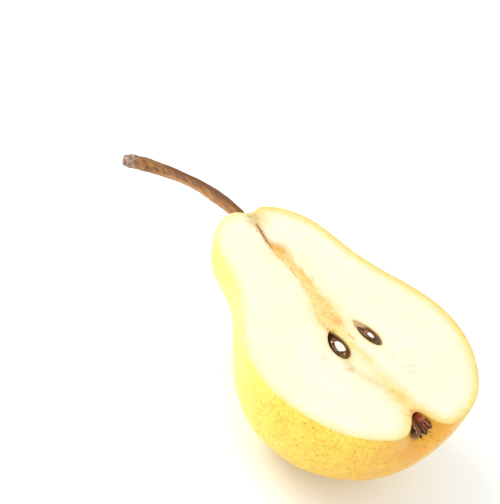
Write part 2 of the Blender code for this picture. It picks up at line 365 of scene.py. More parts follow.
def skin_look():
    look = Look("pear_skin")
    ripe = look.value("ripe")
    slow = look.noise(0.035, 2.0)
    mottle = look.noise(0.22, 4.0, 0.6)
    ripe = look.plus(ripe, look.slope(slow, 0.3, 0.7, -0.12, 0.12))
    ripe = look.plus(ripe, look.slope(mottle, 0.3, 0.7, -0.12, 0.12))
    colour = look.mix(look.slope(ripe, 0.0, 0.42, 0.0, 1.0), rgb(240, 238, 118), rgb(244, 218, 74))
    colour = look.mix(look.slope(ripe, 0.38, 1.0, 0.0, 1.0), colour, rgb(238, 164, 38))
    # Fine golden mottling between the lenticels, stronger where the skin is ripe.
    fleck = look.ramp(look.noise(0.75, 4.0, 0.65), 0.46, 0.64)
    fleck = look.times(fleck, look.slope(ripe, 0.0, 0.7, 0.15, 0.62))
    colour = look.mix(fleck, colour, rgb(228, 158, 42))
    # Lenticels: tiny corky dots of uneven size, browner and closer where the skin is ripe.
    dots = 0.0
    for per_mm, small, large, low, high in ((0.62, 0.10, 0.27, 0.55, 0.95), (1.02, 0.09, 0.28, 0.35, 0.90)):
        spots = look.cells(per_mm)
        size = look.ramp(look.noise(per_mm * 1.7, 1.0), 0.38, 0.62, small, large)
        core = look.times(size, 0.45)
        dot = look.ramp(spots, core, size, 1.0, 0.0)
        here = look.ramp(look.noise(0.20, 2.0), 0.34, 0.52, 0.35, 1.0)
        strength = look.slope(ripe, 0.0, 0.6, low, high)
        strength = look.times(strength, look.ramp(look.value("cork"), 0.02, 0.30, 1.0, 0.25))
        dots = look.math("MAXIMUM", dots, look.times(look.times(dot, here), strength))
    spot_colour = look.mix(look.slope(ripe, 0.1, 0.6, 0.0, 1.0), rgb(178, 164, 52), rgb(168, 106, 26))
    colour = look.mix(dots, colour, spot_colour)
    # Brown corky skin in the calyx basin and round the stem.
    corky = look.ramp(look.noise(0.6, 5.0, 0.65), 0.30, 0.62, 0.35, 1.0)
    cork = look.times(look.value("cork"), corky)
    colour = look.mix(cork, colour, rgb(214, 138, 46))
    # Painted shade: the skin in the hollow under the sepals is painted dark brown where shade falls.
    hollow = look.times(look.value("hollow"), look.ramp(corky, 0.35, 1.0, 0.75, 1.0))
    shade = look.mix(look.ramp(look.noise(0.8, 3.0), 0.4, 0.6), rgb(52, 20, 6), rgb(96, 62, 20))
    colour = look.mix(hollow, colour, shade)
    colour = look.mix(look.value("scar"), colour, rgb(112, 14, 4))
    edge = look.times(look.value("edge"), look.value("gild"))
    colour = look.mix(look.times(edge, 0.5), colour, rgb(222, 170, 70))
    pores = look.noise(2.2, 3.0, 0.6)
    height = look.plus(look.times(dots, 0.8), look.times(pores, 0.35))
    height = look.plus(height, look.times(look.noise(0.45, 2.0), 0.9))
    normal = look.bump(height, 0.35, 0.12)
    roughness = look.plus(look.ramp(pores, 0.3, 0.7, 0.34, 0.46), look.times(cork, 0.3))
    return look.finish(
        colour, roughness, normal,
        Subsurface_Weight=0.12, Subsurface_Radius=(1.0, 0.55, 0.15), Subsurface_Scale=0.0015,
        Specular_IOR_Level=0.42, Coat_Weight=0.08, Coat_Roughness=0.3,
    )


def flesh_look():
    look = Look("pear_flesh")
    rim = look.value("rim")
    slow = look.noise(0.05, 2.0)
    cloud = look.noise(0.16, 4.0, 0.55)
    grain = look.noise(2.6, 3.0, 0.6)
    colour = look.mix(look.ramp(slow, 0.38, 0.62), rgb(230, 230, 208), rgb(229, 228, 200))
    colour = look.mix(look.ramp(cloud, 0.46, 0.72, 0.0, 0.5), colour, rgb(228, 225, 190))
    colour = look.mix(look.ramp(grain, 0.52, 0.70, 0.0, 0.22), colour, rgb(224, 218, 178))
    # Towards the skin the flesh turns yellower, most of all on the side where the skin is golden.
    gild = look.value("gild")
    wavy = look.plus(rim, look.slope(look.noise(0.5, 3.0), 0.3, 0.7, -0.45, 0.45))
    wide = look.slope(gild, 0.0, 1.0, 4.2, 6.0)
    colour = look.mix(look.ramp(wavy, 0.1, wide, 0.85, 0.0), colour, rgb(228, 220, 160))
    wide = look.slope(gild, 0.0, 1.0, 1.1, 3.9)
    deep = look.slope(gild, 0.0, 1.0, 0.55, 1.0)
    colour = look.mix(look.ramp(wavy, 0.0, wide, deep, 0.0), colour, rgb(229, 206, 112))
    line = look.times(look.ramp(wavy, 0.0, 1.4, 0.6, 0.0), gild)
    colour = look.mix(line, colour, rgb(226, 180, 84))
    # What the knife laid open: bundles, core, stains.
    fibre = look.noise(1.5, 4.0, 0.62, warp=0.6)
    patchy = look.ramp(fibre, 0.34, 0.60)
    for key, shade, floor, top in (
        ("white", rgb(231, 231, 216), 1.0, 1.0),
        ("green", rgb(218, 224, 178), 1.0, 1.0),
        ("pink", rgb(230, 210, 132), 0.8, 1.0),
        ("tan", rgb(204, 168, 104), 0.5, 1.0),
        ("orange", rgb(226, 174, 80), 0.6, 1.0),
        ("red", rgb(216, 120, 50), 0.7, 1.0),
        ("brown", rgb(112, 66, 22), 0.8, 1.0),
    ):
        amount = look.times(look.value(key), look.ramp(patchy, 0.0, 1.0, floor, top))
        colour = look.mix(amount, colour, shade)
    rough_tissue = look.value("rough")
    cells = look.cells(3.2)
    height = look.plus(look.times(grain, 0.55), look.times(cells, 0.22))
    height = look.plus(height, look.times(look.noise(0.35, 2.0), 0.8))
    normal = look.bump(height, 0.22, 0.10)
    coarse = look.times(look.noise(2.0, 5.0, 0.7), rough_tissue)
    normal = look.bump(coarse, 0.9, 0.30, normal)
    roughness = look.ramp(grain, 0.3, 0.7, 0.30, 0.46)
    return look.finish(
        colour, roughness, normal,
        Subsurface_Weight=0.35, Subsurface_Radius=(1.0, 0.75, 0.35), Subsurface_Scale=0.0022,
        Specular_IOR_Level=0.38,
    )


def chamber_look():
    look = Look("seed_chamber_wall")
    deep, upward = look.value("deep"), look.value("upward")
    grain = look.noise(1.4, 4.0, 0.6, stretch=(0.35, 1.0, 1.0))
    colour = look.mix(look.ramp(grain, 0.35, 0.65), rgb(144, 100, 54), rgb(104, 66, 30))
    # Painted shade: the wall is painted near black towards the chamber's point, where the recess lies deepest
    # in shade.
    colour = look.mix(look.ramp(upward, 0.55, 0.92), colour, rgb(70, 34, 8))
    colour = look.mix(look.ramp(upward, 0.30, 0.04), colour, rgb(146, 124, 70))
    colour = look.mix(look.ramp(deep, 0.22, 0.02), colour, rgb(188, 150, 96))
    # Painted shade: darker down to the bottom of the bowl.
    colour = look.mix(look.ramp(deep, 0.5, 1.0, 0.0, 0.7), colour, rgb(58, 32, 14))
    # Painted light: the left chamber's wall is painted pale where it faces LIT_WAY.
    colour = look.mix(look.value("lit"), colour, rgb(226, 194, 136))
    # Partly real and partly painted light: the right chamber's pale tan tip is painted paler against the shade
    # of the bowl, and its wall painted lit where it faces LIT_WAY.
    colour = look.mix(look.value("pale_and_lit"), colour, rgb(255, 226, 170))
    # Painted reflection: a grey sheen on the wall at the right chamber's blunt end.
    colour = look.mix(look.value("grey"), colour, rgb(128, 118, 116))
    normal = look.bump(grain, 0.4, 0.12)
    return look.finish(
        colour, look.ramp(grain, 0.3, 0.7, 0.30, 0.46), normal,
        Subsurface_Weight=0.08, Subsurface_Scale=0.0008, Specular_IOR_Level=0.3,
    )


def seed_look():
    look = Look("seed_coat")
    share = look.value("share")
    streak = look.noise(2.2, 4.0, 0.55, stretch=(0.16, 1.0, 1.0))
    colour = look.mix(look.ramp(streak, 0.35, 0.68), rgb(62, 32, 12), rgb(112, 66, 26))
    colour = look.mix(look.ramp(share, 0.80, 0.98, 0.0, 0.6), colour, rgb(56, 26, 6))
    colour = look.mix(look.ramp(share, 0.16, 0.02, 0.0, 0.75), colour, rgb(128, 108, 50))
    # The knife opened the seed: white kernel inside the coat, and a rusty film beside it. The same white is
    # also painted on small spots of the coat as highlights.
    rusty = look.times(look.value("rusty"), look.ramp(look.noise(1.8, 3.0), 0.3, 0.6, 0.6, 1.0))
    colour = look.mix(rusty, colour, rgb(196, 122, 50))
    opened_and_glint = look.plus(look.value("opened_and_glint"), look.ramp(look.noise(1.6, 3.0), 0.3, 0.7, -0.03, 0.03))
    kernel = look.ramp(opened_and_glint, 0.02, 0.06)
    meat = look.mix(look.ramp(look.noise(0.9, 3.0), 0.4, 0.65), rgb(236, 232, 222), rgb(232, 216, 196))
    colour = look.mix(kernel, colour, meat)
    height = look.plus(look.times(streak, 0.5), look.noise(3.5, 3.0))
    normal = look.bump(height, 0.10, 0.06)
    gloss = look.ramp(streak, 0.3, 0.7, 0.24, 0.36)
    return look.finish(
        colour, look.plus(gloss, look.times(kernel, 0.2)), normal,
        Specular_IOR_Level=0.3,
    )


def bark_look():
    look = Look("stem_bark")
    share, side = look.value("share"), look.value("side")
    fibre = look.noise(1.1, 5.0, 0.62, stretch=(0.14, 1.0, 1.0))
    patch = look.noise(0.28, 3.0, 0.55)
    lit_side_uneven = look.plus(side, look.slope(fibre, 0.3, 0.7, -0.10, 0.10))
    colour = look.mix(look.ramp(fibre, 0.34, 0.66), rgb(116, 74, 40), rgb(160, 112, 68))
    # Painted light and shade: the side turned from the light is painted dark, the side turned to it pale and
    # pinkish.
    colour = look.mix(look.ramp(lit_side_uneven, 0.52, 0.90, 0.0, 0.9), colour, rgb(192, 142, 100))
    colour = look.mix(look.ramp(lit_side_uneven, 0.46, 0.22, 0.0, 0.9), colour, rgb(106, 64, 22))
    olive = look.times(look.ramp(share, 0.66, 0.80), look.ramp(patch, 0.35, 0.55, 0.45, 0.95))
    shade = look.mix(look.ramp(fibre, 0.36, 0.64), rgb(112, 70, 30), rgb(158, 112, 60))
    colour = look.mix(olive, colour, shade)
    # The swollen end is grey and speckled, with brown hollows.
    end = look.ramp(look.plus(share, look.ramp(patch, 0.3, 0.7, -0.02, 0.02)), 0.90, 0.95)
    speck = look.noise(1.0, 5.0, 0.75)
    grey = look.mix(look.ramp(speck, 0.38, 0.62), rgb(104, 72, 52), rgb(186, 164, 148))
    colour = look.mix(look.times(end, 0.9), colour, grey)
    lenticels = look.cells(0.75)
    dot = look.ramp(lenticels, 0.06, 0.16, 0.35, 0.0)
    colour = look.mix(dot, colour, rgb(196, 156, 112))
    height = look.plus(fibre, look.times(speck, look.ramp(end, 0.0, 1.0, 0.25, 0.9)))
    height = look.plus(height, look.times(dot, 0.6))
    normal = look.bump(height, 0.55, 0.16)
    return look.finish(
        colour, look.ramp(fibre, 0.3, 0.7, 0.48, 0.68), normal, Specular_IOR_Level=0.35,
    )


def sepal_look():
    look = Look("dried_sepal")
    share, rib = look.value("share"), look.value("rib")
    fibre = look.noise(1.8, 5.0, 0.65, stretch=(0.22, 1.0, 1.0))
    colour = look.mix(look.ramp(fibre, 0.38, 0.62), rgb(66, 30, 14), rgb(140, 86, 56))
    blotch = look.noise(0.8, 3.0, 0.6)
    outer = look.plus(share, look.ramp(blotch, 0.3, 0.7, -0.25, 0.25))
    colour = look.mix(look.ramp(outer, 0.35, 0.75, 0.0, 0.9), colour,
                      look.mix(look.ramp(fibre, 0.45, 0.65), rgb(30, 20, 12), rgb(110, 78, 54)))
    # Pale ribs, and one edge of each blade painted pale as its lit upper edge: partly the ribs' own colour,
    # partly painted light.
    pale_and_lit = look.times(rib, look.ramp(blotch, 0.34, 0.60, 0.25, 1.0))
    colour = look.mix(look.times(pale_and_lit, 0.85), colour, rgb(208, 164, 124))
    colour = look.mix(look.ramp(share, 0.22, 0.0, 0.0, 0.7), colour, rgb(120, 34, 14))
    height = look.plus(fibre, look.times(blotch, 0.6))
    normal = look.bump(height, 0.7, 0.14)
    return look.finish(
        colour, look.ramp(fibre, 0.3, 0.7, 0.46, 0.70), normal, Specular_IOR_Level=0.25,
        Subsurface_Weight=0.06, Subsurface_Scale=0.0006,
    )


def stamen_look():
    look = Look("dried_stamen")
    share = look.value("share")
    fibre = look.noise(1.5, 4.0, 0.6, stretch=(0.18, 1.0, 1.0))
    colour = look.mix(look.ramp(fibre, 0.42, 0.58), rgb(84, 26, 14), rgb(170, 98, 66))
    colour = look.mix(look.ramp(share, 0.45, 0.02, 0.0, 0.9), colour, rgb(116, 16, 6))
    colour = look.mix(look.ramp(share, 0.80, 0.98, 0.0, 0.7), colour, rgb(70, 46, 28))
    normal = look.bump(fibre, 0.7, 0.14)
    return look.finish(
        colour, look.ramp(fibre, 0.3, 0.7, 0.46, 0.70), normal, Specular_IOR_Level=0.25,
        Subsurface_Weight=0.06, Subsurface_Scale=0.0006,
    )


# ---- the fruit -----------------------------------------------------------------------------------
def kernel_line(width, length, steps):
    """Half outline of a seed or its chamber, from the pointed end to the blunt one."""
    line = smooth_line([(width * out, 0, length * up) for out, up in KERNEL], steps)[:, [0, 2]]
    line[0, 0] = line[-1, 0] = 0.0
    return line


def fruit_outline():
    line = smooth_line([(BULB_RADIUS * r, 0, BODY_LENGTH * a) for a, r in OUTLINE], OUTLINE_STEPS)
    line = line[:, [0, 2]]
    line[0, 0] = line[-1, 0] = 0.0
    return line


def grown(across, out, along):
    """The turned shape made a grown one, as in the CAD."""
    near = np.maximum(0, 1 - ((along - HEEL_ALONG) / HEEL_SPREAD) ** 2)
    down = np.maximum(0, -out / np.maximum(np.hypot(across, out), 1e-6))
    x = across * (1 + np.sign(across) * WIDER_SIDE) + core_lean(np.clip(along / BODY_LENGTH, 0, 1))
    y = out * DEEPER - HEEL_DEPTH * near**2 * down**HEEL_TIGHTNESS
    return np.stack([x, y, along], axis=-1)


def soft_floor(y, floor, width=0.25):
    """y, but not below floor, with a small rounding where it comes down to it."""
    up = (y - floor) / width
    return floor + width * np.where(up > 4, up, np.log1p(np.exp(np.clip(up, -40, 4))))


def chamber_loop(name):
    """Rim of a seed chamber on the cut face, as points of (across, along)."""
    across, along, lean, width = CHAMBERS[name]
    half = kernel_line(width, CHAMBER_LENGTH, CHAMBER_STEPS)
    loop = np.concatenate([half, (half * (-1, 1))[-2:0:-1]])
    return turned_by(loop, lean) + (across, along)


def turned_by(points, lean):
    """2-D points turned so that their lower end leans towards +across for a positive lean."""
    c, s = math.cos(math.radians(lean)), math.sin(math.radians(lean))
    x, z = points.T
    return np.stack([c * x - s * z, s * x + c * z], axis=1)


# Marks on the cut face, as (across, along) in millimetres.
DARK_LINE = ((1.2, 79.6), (1.4, 77.3), (1.9, 74.5), (2.2, 72.5), (2.3, 69.9))
BAND_LEFT = ((2.3, 70.4), (2.7, 66.8), (2.1, 64.6), (2.0, 62.1), (1.8, 58.3), (2.0, 55.6), (2.6, 52.6),
             (3.4, 49.6), (5.2, 45.6), (6.2, 42.5), (6.4, 40.0))
BAND_RIGHT = ((-1.4, 69.4), (-0.5, 65.0), (-0.9, 60.4), (-1.2, 56.5), (-0.8, 51.6), (-1.2, 49.0),
              (-1.1, 45.4), (-0.6, 40.3), (-0.2, 38.6))
CORE_LINE = ((0.8, 66.0), (0.5, 58.0), (1.2, 50.0), (2.6, 44.0), (0.6, 36.0), (0.6, 24.0), (0.4, 12.0),
             (0.0, 7.0), (-3.2, 4.2), (-6.5, 1.6))
SLIT = ((0.3, 36.0), (0.2, 35.2), (0.0, 34.0))
TAIL = ((7.2, 28.3), (7.6, 26.8), (8.1, 25.4))
TAIL_LINE = ((8.1, 25.4), (6.3, 22.5), (4.0, 18.6), (1.6, 15.0))
MIDDLE_LINE = ((1.8, 32.4), (1.1, 29.3), (0.4, 26.2))
STAINS = (  # tint, edge, middle, radii, strength, lean in degrees
    # torn, browned tissue at the foot of the stem
    ("pink", "soft", (-0.6, 81.6), (3.4, 3.8), 0.85, -25),
    ("tan", "soft", (0.4, 82.6), (2.6, 2.2), 0.75, 0),
    ("tan", "soft", (2.0, 79.6), (1.8, 1.6), 0.50, 0),
    ("rough", "soft", (0.6, 81.8), (3.0, 3.2), 1.00, 0),
    ("brown", "ragged", (3.1, 81.2), (0.45, 0.63), 0.20, 0),
    ("brown", "ragged", (2.6, 80.1), (0.35, 0.49), 0.25, 0),
    ("brown", "ragged", (2.7, 77.2), (0.40, 0.56), 0.35, 0),
    ("brown", "ragged", (1.5, 82.6), (0.60, 0.84), 0.35, 0),
    ("brown", "ragged", (0.2, 81.0), (0.40, 0.56), 0.15, 0),
    # the patch of orange at the head of the strands, and patches along them
    ("orange", "soft", (0.4, 69.4), (2.3, 3.0), 0.85, 18),
    ("red", "soft", (0.9, 70.6), (1.3, 2.6), 0.34, 18),
    ("red", "ragged", (-0.6, 67.6), (0.8, 1.6), 0.18, 0),
    ("orange", "ragged", (-0.9, 60.1), (0.8, 1.5), 0.70, 0),
    ("orange", "ragged", (-0.8, 56.2), (0.8, 1.2), 0.70, 0),
    ("orange", "ragged", (-0.1, 49.7), (1.2, 1.4), 0.50, 0),
    ("orange", "ragged", (-0.7, 46.3), (1.2, 1.6), 0.45, 0),
    ("brown", "ragged", (-2.5, 56.9), (0.25, 0.25), 0.50, 0),
    ("brown", "ragged", (0.3, 43.8), (0.3, 0.3), 0.40, 0),
    ("white", "ragged", (1.8, 44.4), (0.5, 0.6), 0.50, 0),
    # round the chambers
    ("orange", "soft", (0.6, 41.2), (1.8, 2.1), 0.80, 0),
    ("red", "ragged", (0.4, 40.9), (1.0, 1.3), 0.25, 0),
    ("orange", "ragged", (4.3, 38.2), (1.1, 1.2), 1.00, 10),
    ("brown", "ragged", (4.5, 37.9), (0.6, 0.7), 0.45, 0),
    ("brown", "ragged", (5.2, 39.3), (0.4, 0.6), 0.35, 0),
    ("green", "ragged", (4.9, 28.2), (0.9, 1.1), 1.00, 0),
    ("pink", "soft", (2.0, 37.0), (2.6, 3.4), 0.60, 0),
    ("white", "soft", (-2.6, 34.0), (1.4, 3.8), 0.90, -14),
    # between the chambers and the calyx
    ("orange", "ragged", (13.0, 30.9), (0.9, 1.7), 0.35, 0),
    ("green", "soft", (-12.4, 25.6), (2.2, 2.6), 0.60, 0),
    ("green", "soft", (8.0, 20.0), (2.0, 2.6), 0.30, 0),
    ("pink", "soft", (0.9, 19.2), (2.2, 4.2), 0.50, 12),
    ("pink", "soft", (0.2, 12.4), (3.4, 3.6), 0.80, 0),
    ("orange", "soft", (0.2, 12.6), (2.0, 2.6), 0.42, 0),
    ("tan", "ragged", (-0.1, 13.2), (0.4, 0.5), 0.50, 0),
    ("tan", "ragged", (0.6, 11.0), (0.4, 0.5), 0.50, 0),
    ("tan", "ragged", (1.0, 14.8), (0.4, 0.5), 0.50, 0),
    ("tan", "ragged", (-0.9, 12.0), (0.4, 0.5), 0.50, 0),
)
STREAKS = (  # tint, edge, line, width, strength
    ("rough", "ragged", DARK_LINE, 1.0, 0.90),
    ("orange", "ragged", DARK_LINE, 0.95, 0.90),
    ("orange", "ragged", ((5.4, 41.4), (5.6, 38.8)), 0.5, 0.70),
    ("orange", "ragged", SLIT, 0.32, 0.95),
    ("orange", "ragged", MIDDLE_LINE, 0.7, 0.16),
    ("pink", "soft", MIDDLE_LINE, 1.5, 0.50),
    ("tan", "ragged", TAIL, 1.4, 0.40),
    ("tan", "soft", TAIL_LINE, 0.8, 0.30),
    ("pink", "soft", TAIL_LINE, 1.8, 0.30),
    ("orange", "soft", ((-6.5, 27.1), (-6.4, 25.2), (-7.9, 24.9)), 0.45, 0.20),
    ("white", "soft", ((-1.5, 30.6), (-3.1, 26.3), (-3.1, 22.7)), 2.4, 0.85),
)
GLOW = ((0.6, 66.0), (1.4, 40.0), (0.4, 26.0), (0.2, 10.0))    # warmer flesh down the core
SPLITS = (  # short dark splits along the left edge of the strands: line, width, strength
    (((2.7, 66.8), (2.3, 65.0)), 0.17, 0.80),
    (((2.1, 62.1), (1.9, 58.4)), 0.17, 0.75),
    (((1.9, 56.4), (2.3, 54.7)), 0.15, 0.60),
    (((2.6, 53.3), (2.6, 53.1)), 0.20, 0.70),
)
THREADS = (  # place across the band of strands, width and strength
    (0.10, 0.05, 0.35), (0.27, 0.05, 0.50), (0.44, 0.055, 0.60),
    (0.60, 0.05, 0.55), (0.78, 0.05, 0.65), (0.97, 0.05, 0.90),
)


def spot(points, middle, radii, strength, lean=0.0):
    """A soft oval, 1 x strength in its middle."""
    away = turned_by(points - np.asarray(middle), lean) / np.asarray(radii)
    return strength * np.exp(-1.2 * (away**2).sum(axis=1))


def stroke(points, line, width, strength):
    """A soft line."""
    return strength * bell(along_line(points, line), width)


def face_marks(points, notch):
    """How much of each tint every point of the cut face takes, and how far it is raised, in millimetres."""
    flat = points + 0.30 * np.stack([waves(points, 1.3, 3), waves(points, 1.3, 4)], axis=1)
    rough = points + 0.10 * np.stack([waves(points, 0.45, 5), waves(points, 0.45, 6)], axis=1)
    edges = {"soft": flat, "ragged": rough}
    marks = {key: np.zeros(len(points)) for key in
             ("white", "green", "pink", "tan", "orange", "red", "brown", "rough")}
    for tint, edge, middle, radii, strength, lean in STAINS:
        marks[tint] += spot(edges[edge], middle, radii, strength, lean)
    for tint, edge, line, width, strength in STREAKS:
        marks[tint] += stroke(edges[edge], line, width, strength)
    marks["pink"] += 0.30 * stroke(flat, GLOW, 6.5, 1.0)
    # The dark crack below the stem.
    width = np.interp(rough[:, 1], (69.9, 73.0, 77.5, 79.6), (0.14, 0.36, 0.52, 0.25))
    gap = along_line(rough, DARK_LINE)
    marks["brown"] += 0.85 * bell(gap, width)
    # The bundle of strands from there to the seed chambers.
    left, right = np.asarray(BAND_LEFT), np.asarray(BAND_RIGHT)
    run = rough[:, 1]
    edge_left = np.interp(run, left[::-1, 1], left[::-1, 0])
    edge_right = np.interp(run, right[::-1, 1], right[::-1, 0])
    share = (rough[:, 0] - edge_right) / np.maximum(edge_left - edge_right, 0.5)
    reach = soft_step(run, 36.5, 42.5) * soft_step(-run, -72.0, -69.0)
    ragged = share + 0.14 * waves(points * (1.0, 0.3), 0.6, 15)
    band = soft_step(ragged, -0.55, 0.35) * soft_step(-ragged, -1.45, -0.65) * reach
    body = 0.42 + 0.58 * soft_step(run, 46.0, 68.0)
    marks["pink"] += band * 0.80
    marks["orange"] += band * body * (0.34 + 0.34 * waves(points * (1.0, 0.16), 0.42, 14))
    marks["white"] += 0.45 * band * np.clip(waves(points * (1.0, 0.14), 0.45, 16) - 0.3, 0, 1)
    for place, thick, strength in THREADS:
        beads = 0.62 + 0.38 * waves(np.stack([0 * run + 9 * place, run], axis=1), 1.9, 9)
        thread = bell(share - place, thick) * reach * np.clip(beads, 0, 1)
        marks["orange"] += 0.55 * strength * thread
        marks["tan"] += 0.45 * strength * thread
    for line, thick, strength in SPLITS:
        marks["brown"] += 0.25 * stroke(rough, line, thick, strength)
        marks["tan"] += 0.6 * stroke(rough, line, 1.6 * thick, strength)
    # Two faint rings: cut bundles.
    away = np.linalg.norm(rough - (2.0, 44.0), axis=1)
    marks["tan"] += 0.65 * bell(away - 0.95, 0.33)
    oval = np.hypot((rough[:, 0] + 9.4) / 1.9, (rough[:, 1] - 20.2) / 1.15)
    marks["tan"] += 0.26 * bell(oval - 1, 0.3)
    # Round the calyx: orange flesh, reddest against the notch.
    gap = along_line(flat, notch)
    near = bell(points[:, 0] + 0.8, 4.2)
    marks["pink"] += bell(gap, 3.0) * (0.35 + 0.65 * near)
    marks["orange"] += 0.85 * bell(gap, 1.5) * near
    marks["red"] += 0.70 * bell(gap, 0.9) * bell(points[:, 0] + 0.2, 2.4)
    # Round the chambers: a thin browned membrane in paler flesh.
    for name in CHAMBERS:
        gap = from_loop(points, chamber_loop(name))
        marks["tan"] += 0.8 * bell(gap, 0.30)
        marks["pink"] += 0.5 * bell(gap, 1.1)
    height = (
        -0.22 * np.clip(marks["brown"], 0, 1)
        - 0.06 * np.clip(marks["orange"], 0, 1)
        - 0.18 * stroke(points, SLIT, 0.28, 1.0)
        + 0.05 * waves(points, 9.0, 11)
        + 0.012 * waves(points, 1.6, 12)
        + 0.06 * np.clip(marks["rough"], 0, 1) * waves(points, 0.55, 13)
    )
    return {key: np.clip(value, 0, 1) for key, value in marks.items()}, height


def face_points(rim, holes):
    """Points over the cut face, close together near the core, all inside rim and outside the holes."""
    low, high = rim.min(axis=0), rim.max(axis=0)
    out = []
    spine = ((0.6, 84.0),) + DARK_LINE + CORE_LINE
    for step, fine in ((FACE_STEP, False), (CORE_STEP, True)):
        xs = np.arange(low[0], high[0], step)
        zs = np.arange(low[1], high[1], step * 0.866)
        grid = np.stack(np.meshgrid(xs, zs), axis=-1)
        grid[1::2, :, 0] += step / 2
        grid = grid.reshape(-1, 2)
        rng = np.random.default_rng(7)
        grid = grid + rng.uniform(-0.12, 0.12, grid.shape) * step
        near = along_line(grid, spine)
        for loop in holes:
            near = np.minimum(near, from_loop(grid, loop))
        core = near < CORE_REACH
        out.append(grid[core] if fine else grid[~core])
    points = np.concatenate(out)
    keep = inside(points, rim) & (from_loop(points, rim) > 0.10)
    for loop in holes:
        keep &= ~inside(points, loop) & (from_loop(points, loop) > 0.08)
    return points[keep]


def skin_grid(outline, angles):
    """The skin's points, a row round the fruit for each point of the outline."""
    radius, along = outline.T
    rows, round_ = len(outline), len(angles)
    skin = grown(radius[:, None] * np.cos(angles), -radius[:, None] * np.sin(angles),
                 np.repeat(along[:, None], round_, axis=1)).reshape(-1, 3)
    inward = np.tile(np.sin(angles), rows)
    lift = SKIN_SWELL * (waves(skin, 11.0, 21) + 0.35 * waves(skin, 4.0, 22)) * inward**0.5
    lift *= np.clip(radius / 6.0, 0, 1).repeat(round_)
    way = np.stack([np.tile(np.cos(angles), rows), -inward, 0 * inward], axis=1)
    skin = skin + way * lift[:, None]
    sunk = RIM_ROUND * (1 - inward) * np.clip(radius / 2.0, 0, 1).repeat(round_)
    skin[:, 1] = soft_floor(skin[:, 1] - sunk, -CUT_HEIGHT)
    return skin


def brought_in(rim):
    """A closed outline moved inwards by the rounding of the knife's edge."""
    ahead = np.roll(rim, -1, axis=0) - np.roll(rim, 1, axis=0)
    normal = np.stack([ahead[:, 1], -ahead[:, 0]], axis=1) / np.linalg.norm(ahead, axis=1)[:, None]
    if inside(rim + normal * 0.01, rim).mean() < 0.5:
        normal = -normal
    return rim + normal * RIM_ROUND


def cut_face(loops):
    """(points, triangles, where each point of the loops went) of the face between the rim and the holes."""
    every = np.concatenate(loops + [face_points(loops[0], loops[1:])])
    edges, start = [], 0
    for loop in loops:
        n = len(loop)
        edges += [(start + k, start + (k + 1) % n) for k in range(n)]
        start += n
    verts, _, tris, source, _, _ = delaunay_2d_cdt([Vector(p) for p in every], edges, [], 0, 1e-5)
    verts = np.array([tuple(v) for v in verts])
    tris = np.array(tris)
    middle = verts[tris].mean(axis=1)
    keep = inside(middle, loops[0])
    for loop in loops[1:]:
        keep &= ~inside(middle, loop)
    tris = tris[keep]
    spin = verts[tris]
    area = np.cross(spin[:, 1] - spin[:, 0], spin[:, 2] - spin[:, 0])
    tris[area > 0] = tris[area > 0][:, ::-1]
    return verts, tris, {old: new for new, olds in enumerate(source) for old in olds}


def bowl(name, loop):
    """Rows of points down into a seed chamber, and what its wall's look needs to know of them."""
    across, along, _, _ = CHAMBERS[name]
    centre = np.array([across, along])
    rows = []
    told = {key: [] for key in ("deep", "upward", "pale_and_lit", "grey", "lit")}
    facing = ((loop - centre) @ np.array(LIT_WAY)) / np.linalg.norm(loop - centre, axis=1)
    facing = soft_step(facing, 0.45, 0.85)
    for share in np.linspace(0.08, 1.0, BOWL_ROWS + 1)[:-1]:
        turn = share * math.pi / 2
        row = centre + (loop - centre) * math.cos(turn)
        depth = np.full(len(loop), -CHAMBER_DEPTH * math.sin(turn))
        row = np.stack([row[:, 0], depth, row[:, 1]], axis=1)
        row[:, 1] += 0.10 * waves(row, 1.8, 31) * min(1.0, 3 * share)
        up = (row[:, 2] - along) / CHAMBER_LENGTH + 0.5
        rows.append(row)
        told["deep"].append(np.full(len(loop), share))
        told["upward"].append(up)
        # Painted light: the left chamber's wall painted pale where it faces LIT_WAY.
        told["lit"].append((name == "left") * facing)
        # Painted light: the right chamber's tip painted paler, and its wall painted lit where it faces LIT_WAY.
        told["pale_and_lit"].append((name == "right") * np.maximum(soft_step(up, 0.64, 0.80), facing))
        # Painted reflection: a grey sheen on the right chamber's blunt end.
        told["grey"].append((name == "right") * soft_step(-up, -0.42, -0.26) * 0.8)
    bottom = {"deep": 1.0, "upward": 0.5, "pale_and_lit": 0.0, "grey": 0.0, "lit": 0.0}
    for key, value in bottom.items():
        told[key].append(np.full(1, value))
    return rows, np.array([[across, -CHAMBER_DEPTH, along]]), told


